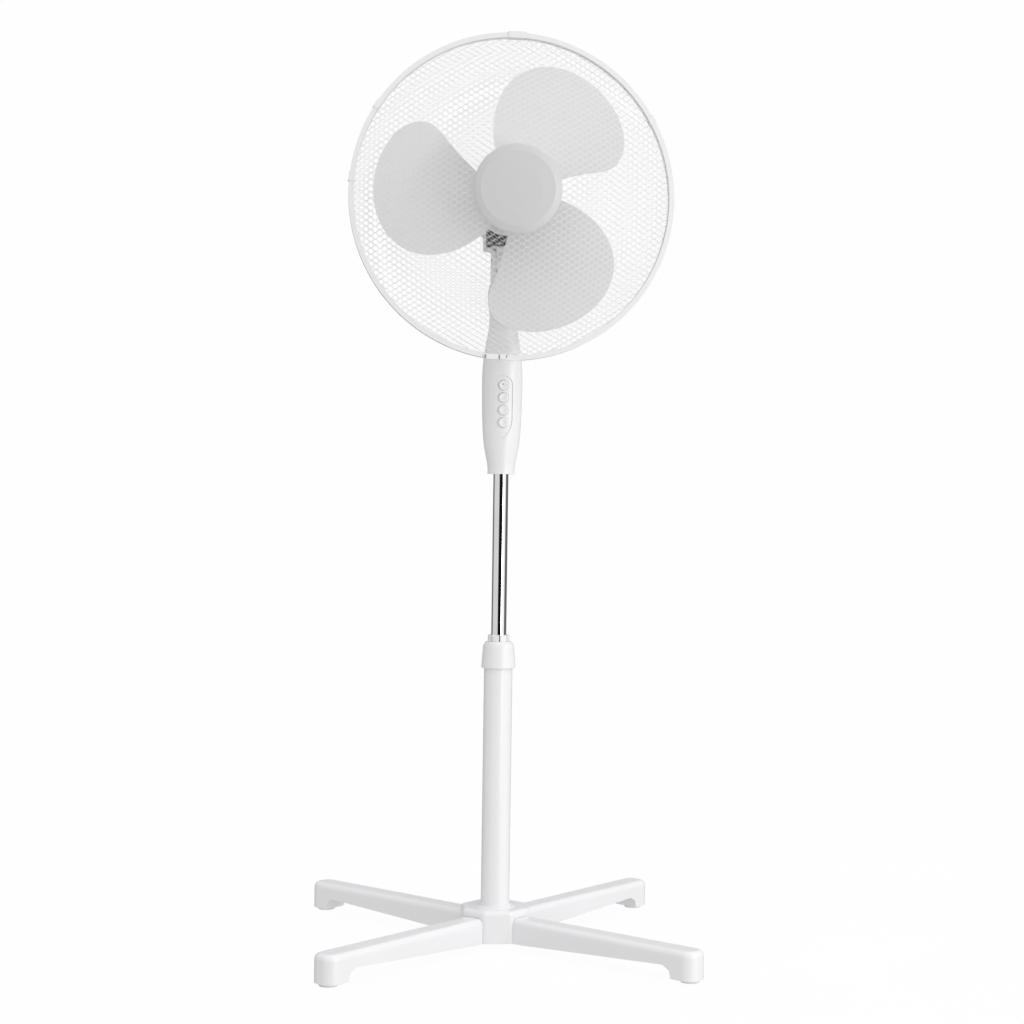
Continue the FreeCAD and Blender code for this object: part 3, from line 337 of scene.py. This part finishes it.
RIM_WIRE = 0.0023  # radius of a guard's rim wire
CELL_WIDTH = 0.0136
CELL_HEIGHT = 0.0085
BOND = 0.0026  # length over which two rows lie side by side
BOND_GAP = 0.35  # from middle to middle there, as a share of the strand's width
STRAND_WIDTH = 0.00062
STRAND_DEPTH = 0.0006
STRAND_SIDES = 6
CUT_STEPS = 24  # halvings to find where a strand crosses the mesh's edge
AT_APEX = 1e-9  # a sheet point this close to the apex has no direction out from it


class Dome:
    """A shallow spherical cap about the Y axis, from its apex to its rim.

    A flat sheet is drawn over it: the point (u, v) of the sheet keeps its direction and its
    distance from the apex, measured along the dome.
    """

    def __init__(self, centre_x, centre_z, apex_y, rim_y, rim_radius):
        self.x, self.z, self.apex_y = centre_x, centre_z, apex_y
        self.side = 1.0 if rim_y > apex_y else -1.0
        depth = abs(rim_y - apex_y)
        self.radius = (rim_radius**2 + depth**2) / (2.0 * depth)

    def arc_at(self, radius):
        """The distance from the apex, along the dome, of a circle of that radius."""
        return self.radius * math.asin(min(1.0, radius / self.radius))

    def point(self, u, v):
        arc = math.hypot(u, v)
        turn = arc / self.radius
        ring = self.radius * math.sin(turn)
        y = self.apex_y + self.side * (self.radius - self.radius * math.cos(turn))
        if arc < AT_APEX:
            return Vector((self.x, y, self.z))
        return Vector((self.x + ring * u / arc, y, self.z + ring * v / arc))

    def normal(self, u, v):
        arc = math.hypot(u, v)
        if arc < AT_APEX:
            return Vector((0.0, -self.side, 0.0))
        turn = arc / self.radius
        sine = math.sin(turn)
        return Vector((sine * u / arc, -self.side * math.cos(turn), sine * v / arc))


def add_strand(dome, path, vertices, faces):
    """Adds a closed strand of rounded section along a path of sheet points."""
    centre = [dome.point(u, v) for u, v in path]
    outward = [dome.normal(u, v) for u, v in path]
    count = len(centre)
    first = len(vertices)
    for i in range(count):
        before = centre[max(0, i - 1)]
        after = centre[min(count - 1, i + 1)]
        along = (after - before).normalized()
        across = along.cross(outward[i]).normalized()
        for k in range(STRAND_SIDES):
            turn = 2.0 * math.pi * (k + 0.5) / STRAND_SIDES
            sideways = across * (0.5 * STRAND_WIDTH * math.cos(turn))
            outwards = outward[i] * (0.5 * STRAND_DEPTH * math.sin(turn))
            vertices.append(centre[i] + (sideways + outwards))
    for i in range(count - 1):
        a = first + i * STRAND_SIDES
        b = a + STRAND_SIDES
        for k in range(STRAND_SIDES):
            n = (k + 1) % STRAND_SIDES
            faces.append((a + k, a + n, b + n, b + k))
    last = first + (count - 1) * STRAND_SIDES
    faces.append(tuple(first + k for k in reversed(range(STRAND_SIDES))))
    faces.append(tuple(last + k for k in range(STRAND_SIDES)))


def cut_point(start, end, start_inside, inner, outer):
    """Where the line from start to end crosses the circle between them, on its start's side."""
    (u0, v0), (u1, v1) = start, end
    at_outer = max(math.hypot(u0, v0), math.hypot(u1, v1)) > outer
    low, high = 0.0, 1.0
    for _ in range(CUT_STEPS):
        middle = 0.5 * (low + high)
        radius = math.hypot(u0 + (u1 - u0) * middle, v0 + (v1 - v0) * middle)
        beyond = radius > outer if at_outer else radius < inner
        if beyond != start_inside:
            low = middle
        else:
            high = middle
    return (u0 + (u1 - u0) * low, v0 + (v1 - v0) * low)


def clip_path(path, inner, outer):
    """The stretches of a path that lie between two circles about the sheet's centre."""
    stretches = []
    current = []
    for start, end in zip(path, path[1:]):
        start_inside = inner <= math.hypot(*start) <= outer
        end_inside = inner <= math.hypot(*end) <= outer
        if start_inside and not current:
            current.append(start)
        if start_inside and end_inside:
            current.append(end)
        elif start_inside:
            current.append(cut_point(start, end, start_inside, inner, outer))
            stretches.append(current)
            current = []
        elif end_inside:
            current = [cut_point(start, end, start_inside, inner, outer), end]
    if len(current) > 1:
        stretches.append(current)
    return [stretch for stretch in stretches if len(stretch) > 1]


def guard_mesh(dome, inner, outer, shift):
    """Expanded metal: each row zigzags by half a cell and meets its neighbours in flat bonds.

    A shift of 1 moves all rows up by half a row.
    """
    vertices, faces = [], []
    half_width, half_height = 0.5 * CELL_WIDTH, 0.5 * CELL_HEIGHT
    outer_arc, inner_arc = dome.arc_at(outer), dome.arc_at(inner)
    rows = int(outer_arc / half_height) + 1
    columns = int(outer_arc / half_width) + 2
    for row in range(-rows, rows + 1):
        middle = (row + 0.5 * shift) * half_height
        path = []
        for column in range(-columns, columns + 1):
            up = (column + row) % 2 == 0
            v = middle + (0.5 if up else -0.5) * (half_height - BOND_GAP * STRAND_WIDTH)
            u = column * half_width
            path.append((u - 0.5 * BOND, v))
            path.append((u + 0.5 * BOND, v))
        for stretch in clip_path(path, inner_arc, outer_arc):
            add_strand(dome, stretch, vertices, faces)
    return vertices, faces


# ---------------------------------------------------------------- guard

# how far the mesh's apex lies inside the CAD guard's outer face
FRONT_INSET, REAR_INSET = 0.0004, 0.0006
# how far the mesh runs on under the centre disc, and how far it stops short of the rear nut
UNDER_BADGE, OFF_NUT = 0.012, 0.010
PLATE_RADIUS = 0.03205  # to the middle of the rear guard's centre plate
PLATE_HALF_DEPTH = 0.0015
PLATE_SECTION = bevelled_section(
    across=0.01195,
    deep=PLATE_HALF_DEPTH,
    flat_across=0.0114,
    flat_deep=0.0011,
)


def half_across(node_name):
    """Half the width of a CAD node along X."""
    low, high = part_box(node_name)
    return 0.5 * (high.x - low.x)


def add_guard(side, apex_y, rim_y, inner, shift):
    """The mesh and the rim wire that stand for a CAD guard; returns the guard's axis (x, z)."""
    node_name = f"{side}_guard"
    low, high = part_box(node_name)
    x, z = 0.5 * (low.x + high.x), 0.5 * (low.z + high.z)
    rim_radius = half_across(node_name) - RIM_WIRE
    mesh = guard_mesh(Dome(x, z, apex_y, rim_y, rim_radius), inner, rim_radius, shift)
    new_piece(f"{side}_grille_mesh", mesh, "mesh_paint", "head", node_name)
    rim = hoop((x, rim_y, z), rim_radius, round_section(RIM_WIRE))
    new_piece(f"{side}_grille_rim", rim, "mesh_paint", "head", node_name)
    return x, z


guard_low, guard_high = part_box("front_guard")
add_guard(
    "front",
    apex_y=guard_low.y + FRONT_INSET,
    rim_y=guard_high.y - RIM_WIRE,
    inner=half_across("badge") - UNDER_BADGE,
    shift=0.0,
)

guard_low, guard_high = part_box("rear_guard")
guard_x, guard_z = add_guard(
    "rear",
    apex_y=guard_high.y - REAR_INSET,
    rim_y=guard_low.y + RIM_WIRE,
    inner=half_across("grille_nut") + OFF_NUT,
    shift=1.0,
)
plate_centre = (guard_x, guard_high.y - PLATE_HALF_DEPTH, guard_z)
plate = hoop(plate_centre, PLATE_RADIUS, PLATE_SECTION, around=96)
new_piece(
    "rear_grille_plate",
    plate,
    "white_paint",
    "head",
    replaced="rear_guard",
    smooth=False,
)


# ---------------------------------------------------------------- buttons

# a dished face inside a soft shoulder, as (radius, depth behind the face's rim)
BUTTON_PROFILE = [
    (0.0, 0.0008),
    (0.0022, 0.0007),
    (0.0038, 0.0003),
    (0.0046, 0.00005),
    (0.0051, 0.0),
    (0.0057, 0.0002),
    (0.0063, 0.0007),
    (0.0068, 0.0015),
    (0.00705, 0.0026),
    (0.0071, 0.0036),
    (0.0071, 0.0060),
    (0.0, 0.0060),
]
# a small dark pip on the top button, and where it sits on the button's face
MARK_PROFILE = [(0.0, -0.0002), (0.0006, -0.00015), (0.0009, 0.0), (0.0009, 0.0006), (0.0, 0.0006)]
MARK_PLACE = Vector((-0.0012, 0.0007, 0.0014))

for number in range(4):
    body = f"button_{number}"
    low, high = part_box(body)
    face_centre = Vector((0.5 * (low.x + high.x), low.y, 0.5 * (low.z + high.z)))
    cap = turned_shape(BUTTON_PROFILE, face_centre)
    new_piece(f"button_cap_{number}", cap, "button_plastic", body, body)
# the last of the four is the top one
mark = turned_shape(MARK_PROFILE, face_centre + MARK_PLACE, around=24)
new_piece("top_button_mark", mark, "dark_plastic", "button_3")


# ---------------------------------------------------------------- floor

FLOOR_RADIUS = 60.0
FLOOR_SIDES = 64
FLOOR_Z = -0.0004  # just under the feet
FLOOR_GLOW = 0.96  # the floor gives its own light, so that it reads as white paper

floor_vertices = [(0.0, 0.0, FLOOR_Z)]
floor_faces = []
for i, (cosine, sine) in enumerate(circle(FLOOR_SIDES)):
    floor_vertices.append((FLOOR_RADIUS * cosine, FLOOR_RADIUS * sine, FLOOR_Z))
    floor_faces.append((0, 1 + i, 1 + (i + 1) % FLOOR_SIDES))
floor_mesh = bpy.data.meshes.new("studio_floor")
floor_mesh.from_pydata(floor_vertices, [], floor_faces)
floor = bpy.data.objects.new("studio_floor", floor_mesh)
bpy.context.scene.collection.objects.link(floor)
floor_material, tree, shader = new_material("studio_floor")
floor_noise = noise(tree, per_metre=3.0, detail=3.0)
floor_tones = two_tone(tree, floor_noise, (0.028, 0.028, 0.028), (0.033, 0.033, 0.033))
tree.links.new(floor_tones, shader.inputs["Base Color"])
shader.inputs["Roughness"].default_value = 1.0
shader.inputs["Specular IOR Level"].default_value = 0.0
shader.inputs["Emission Color"].default_value = (1.0, 1.0, 1.0, 1.0)
shader.inputs["Emission Strength"].default_value = FLOOR_GLOW
floor_mesh.materials.append(floor_material)
# the world stands in for the floor's light, see FLOOR_BOUNCE
floor.visible_glossy = False
floor.visible_diffuse = False
floor.visible_shadow = False


# ---------------------------------------------------------------- light

BACKDROP_TONE = 0.99
SOFT_LIGHT_FROM = Vector((0.15, -0.1, 1.0)).normalized()
SOFT_LIGHT = (-0.10, 1.54)  # strength opposite that direction, and in it
FLOOR_BOUNCE = 1.1  # strength straight from below, falling to nothing at the horizon
CAMERA_BEARING = -5.2  # degrees from the front towards the right
# what gloss sees round the column: (degrees from the camera's bearing, brightness)
CARDS = [
    (-180.0, 0.16),
    (-112.0, 0.16),
    (-104.0, 0.68),
    (-24.0, 0.70),
    (-15.0, 0.006),
    (28.0, 0.006),
    (38.0, 1.0),
    (80.0, 1.0),
    (90.0, 0.13),
    (175.0, 0.13),
]


def math_node(tree, operation, first, second):
    """An operation on two sockets, or on a socket and a number."""
    node = add_node(tree, "ShaderNodeMath", operation=operation)
    tree.links.new(first, node.inputs[0])
    if isinstance(second, float):
        node.inputs[1].default_value = second
    else:
        tree.links.new(second, node.inputs[1])
    return node.outputs["Value"]


def mix_shader(tree, share, first, second):
    node = add_node(tree, "ShaderNodeMixShader")
    tree.links.new(share, node.inputs["Fac"])
    tree.links.new(first, node.inputs[1])
    tree.links.new(second, node.inputs[2])
    return node.outputs["Shader"]


def soft_shader(tree, direction):
    """Soft light, brightest from above, and what a pale floor throws back."""
    toward = add_node(tree, "ShaderNodeVectorMath", operation="DOT_PRODUCT")
    toward.inputs[1].default_value = SOFT_LIGHT_FROM
    tree.links.new(direction, toward.inputs[0])
    soft = map_range(tree, toward.outputs["Value"], (-1.0, 1.0), SOFT_LIGHT)
    split = add_node(tree, "ShaderNodeSeparateXYZ")
    tree.links.new(direction, split.inputs["Vector"])
    bounce = map_range(tree, split.outputs["Z"], (-1.0, 0.0), (FLOOR_BOUNCE, 0.0))
    background = add_node(tree, "ShaderNodeBackground")
    tree.links.new(math_node(tree, "ADD", soft, bounce), background.inputs["Strength"])
    return background.outputs["Background"]


def card_share(degrees):
    """A bearing as a share of the whole turn that the colour ramp covers."""
    return ((degrees + CAMERA_BEARING + 180.0) % 360.0) / 360.0


def gloss_shader(tree, direction):
    """Dark cards beside tall bright boxes, by direction round the object."""
    split = add_node(tree, "ShaderNodeSeparateXYZ")
    tree.links.new(direction, split.inputs["Vector"])
    forwards = math_node(tree, "MULTIPLY", split.outputs["Y"], -1.0)
    bearing = math_node(tree, "ARCTAN2", split.outputs["X"], forwards)
    cards = add_node(tree, "ShaderNodeValToRGB")
    elements = cards.color_ramp.elements
    while len(elements) > 1:
        elements.remove(elements[-1])
    stops = sorted((card_share(degrees), brightness) for degrees, brightness in CARDS)
    elements[0].position = stops[0][0]
    for position, _ in stops[1:]:
        elements.new(position)
    for element, (_, brightness) in zip(elements, stops):
        element.color = (brightness, brightness, brightness, 1.0)
    share = map_range(tree, bearing, (-math.pi, math.pi), (0.0, 1.0))
    tree.links.new(share, cards.inputs["Fac"])
    background = add_node(tree, "ShaderNodeBackground")
    tree.links.new(cards.outputs["Color"], background.inputs["Color"])
    background.inputs["Strength"].default_value = 1.0
    return background.outputs["Background"]


def backdrop_shader(tree):
    background = add_node(tree, "ShaderNodeBackground")
    background.inputs["Color"].default_value = (1.0, 1.0, 1.0, 1.0)
    background.inputs["Strength"].default_value = BACKDROP_TONE
    return background.outputs["Background"]


def strip_box(name, bearing, distance, low, high, width, radiance):
    """A tall soft box that faces the column; bearing is degrees from the front to the right."""
    light = bpy.data.lights.new(name, "AREA")
    light.shape = "RECTANGLE"
    light.size = width
    light.size_y = high - low
    light.energy = radiance * math.pi * width * (high - low)
    turn = math.radians(bearing)
    place = Vector((distance * math.sin(turn), -distance * math.cos(turn), 0.5 * (low + high)))
    inwards = -Vector((place.x, place.y, 0.0))
    box = bpy.data.objects.new(name, light)
    facing = inwards.to_track_quat("-Z", "Z").to_matrix().to_4x4()
    box.matrix_world = Matrix.Translation(place) @ facing
    bpy.context.scene.collection.objects.link(box)


world = bpy.data.worlds.new("studio")
bpy.context.scene.world = world
world.use_nodes = True
tree = world.node_tree
tree.nodes.clear()
ray = add_node(tree, "ShaderNodeLightPath")
direction = add_node(tree, "ShaderNodeTexCoord").outputs["Generated"]
soft_light = soft_shader(tree, direction)
gloss_light = gloss_shader(tree, direction)
by_gloss = mix_shader(tree, ray.outputs["Is Glossy Ray"], soft_light, gloss_light)
by_camera = mix_shader(tree, ray.outputs["Is Camera Ray"], by_gloss, backdrop_shader(tree))
out = add_node(tree, "ShaderNodeOutputWorld")
tree.links.new(by_camera, out.inputs["Surface"])

strip_box(
    "key_strip",
    bearing=45.5,
    distance=3.0,
    low=-0.6,
    high=2.6,
    width=0.42,
    radiance=7.0,
)
bpy.context.scene.view_settings.view_transform = "Standard"


# ---------------------------------------------------------------- camera
# worked out from the four feet and the column of the photo

CAMERA_PLACE = Vector((-0.2506, -2.6932, 0.6163))
CAMERA_YAW = math.radians(5.651)
CAMERA_PITCH = math.radians(-0.57)
CAMERA_ROLL = math.radians(0.809)
SENSOR_WIDTH = 36.0  # millimetres
CAMERA_LENS = 69.6129  # millimetres, for that sensor
CAMERA_REACH = 200.0

forward = Vector(
    (
        math.sin(CAMERA_YAW) * math.cos(CAMERA_PITCH),
        math.cos(CAMERA_YAW) * math.cos(CAMERA_PITCH),
        math.sin(CAMERA_PITCH),
    )
)
level_right = Vector((math.cos(CAMERA_YAW), -math.sin(CAMERA_YAW), 0.0))
level_up = level_right.cross(forward)
right = level_right * math.cos(CAMERA_ROLL) + level_up * math.sin(CAMERA_ROLL)
up = level_up * math.cos(CAMERA_ROLL) - level_right * math.sin(CAMERA_ROLL)
camera_data = bpy.data.cameras.new("camera")
camera_data.sensor_width = SENSOR_WIDTH
camera_data.lens = CAMERA_LENS
camera_data.clip_end = CAMERA_REACH
camera = bpy.data.objects.new("camera", camera_data)
bpy.context.scene.collection.objects.link(camera)
facing = Matrix((right, up, -forward)).transposed().to_4x4()
camera.matrix_world = Matrix.Translation(CAMERA_PLACE) @ facing
bpy.context.scene.camera = camera
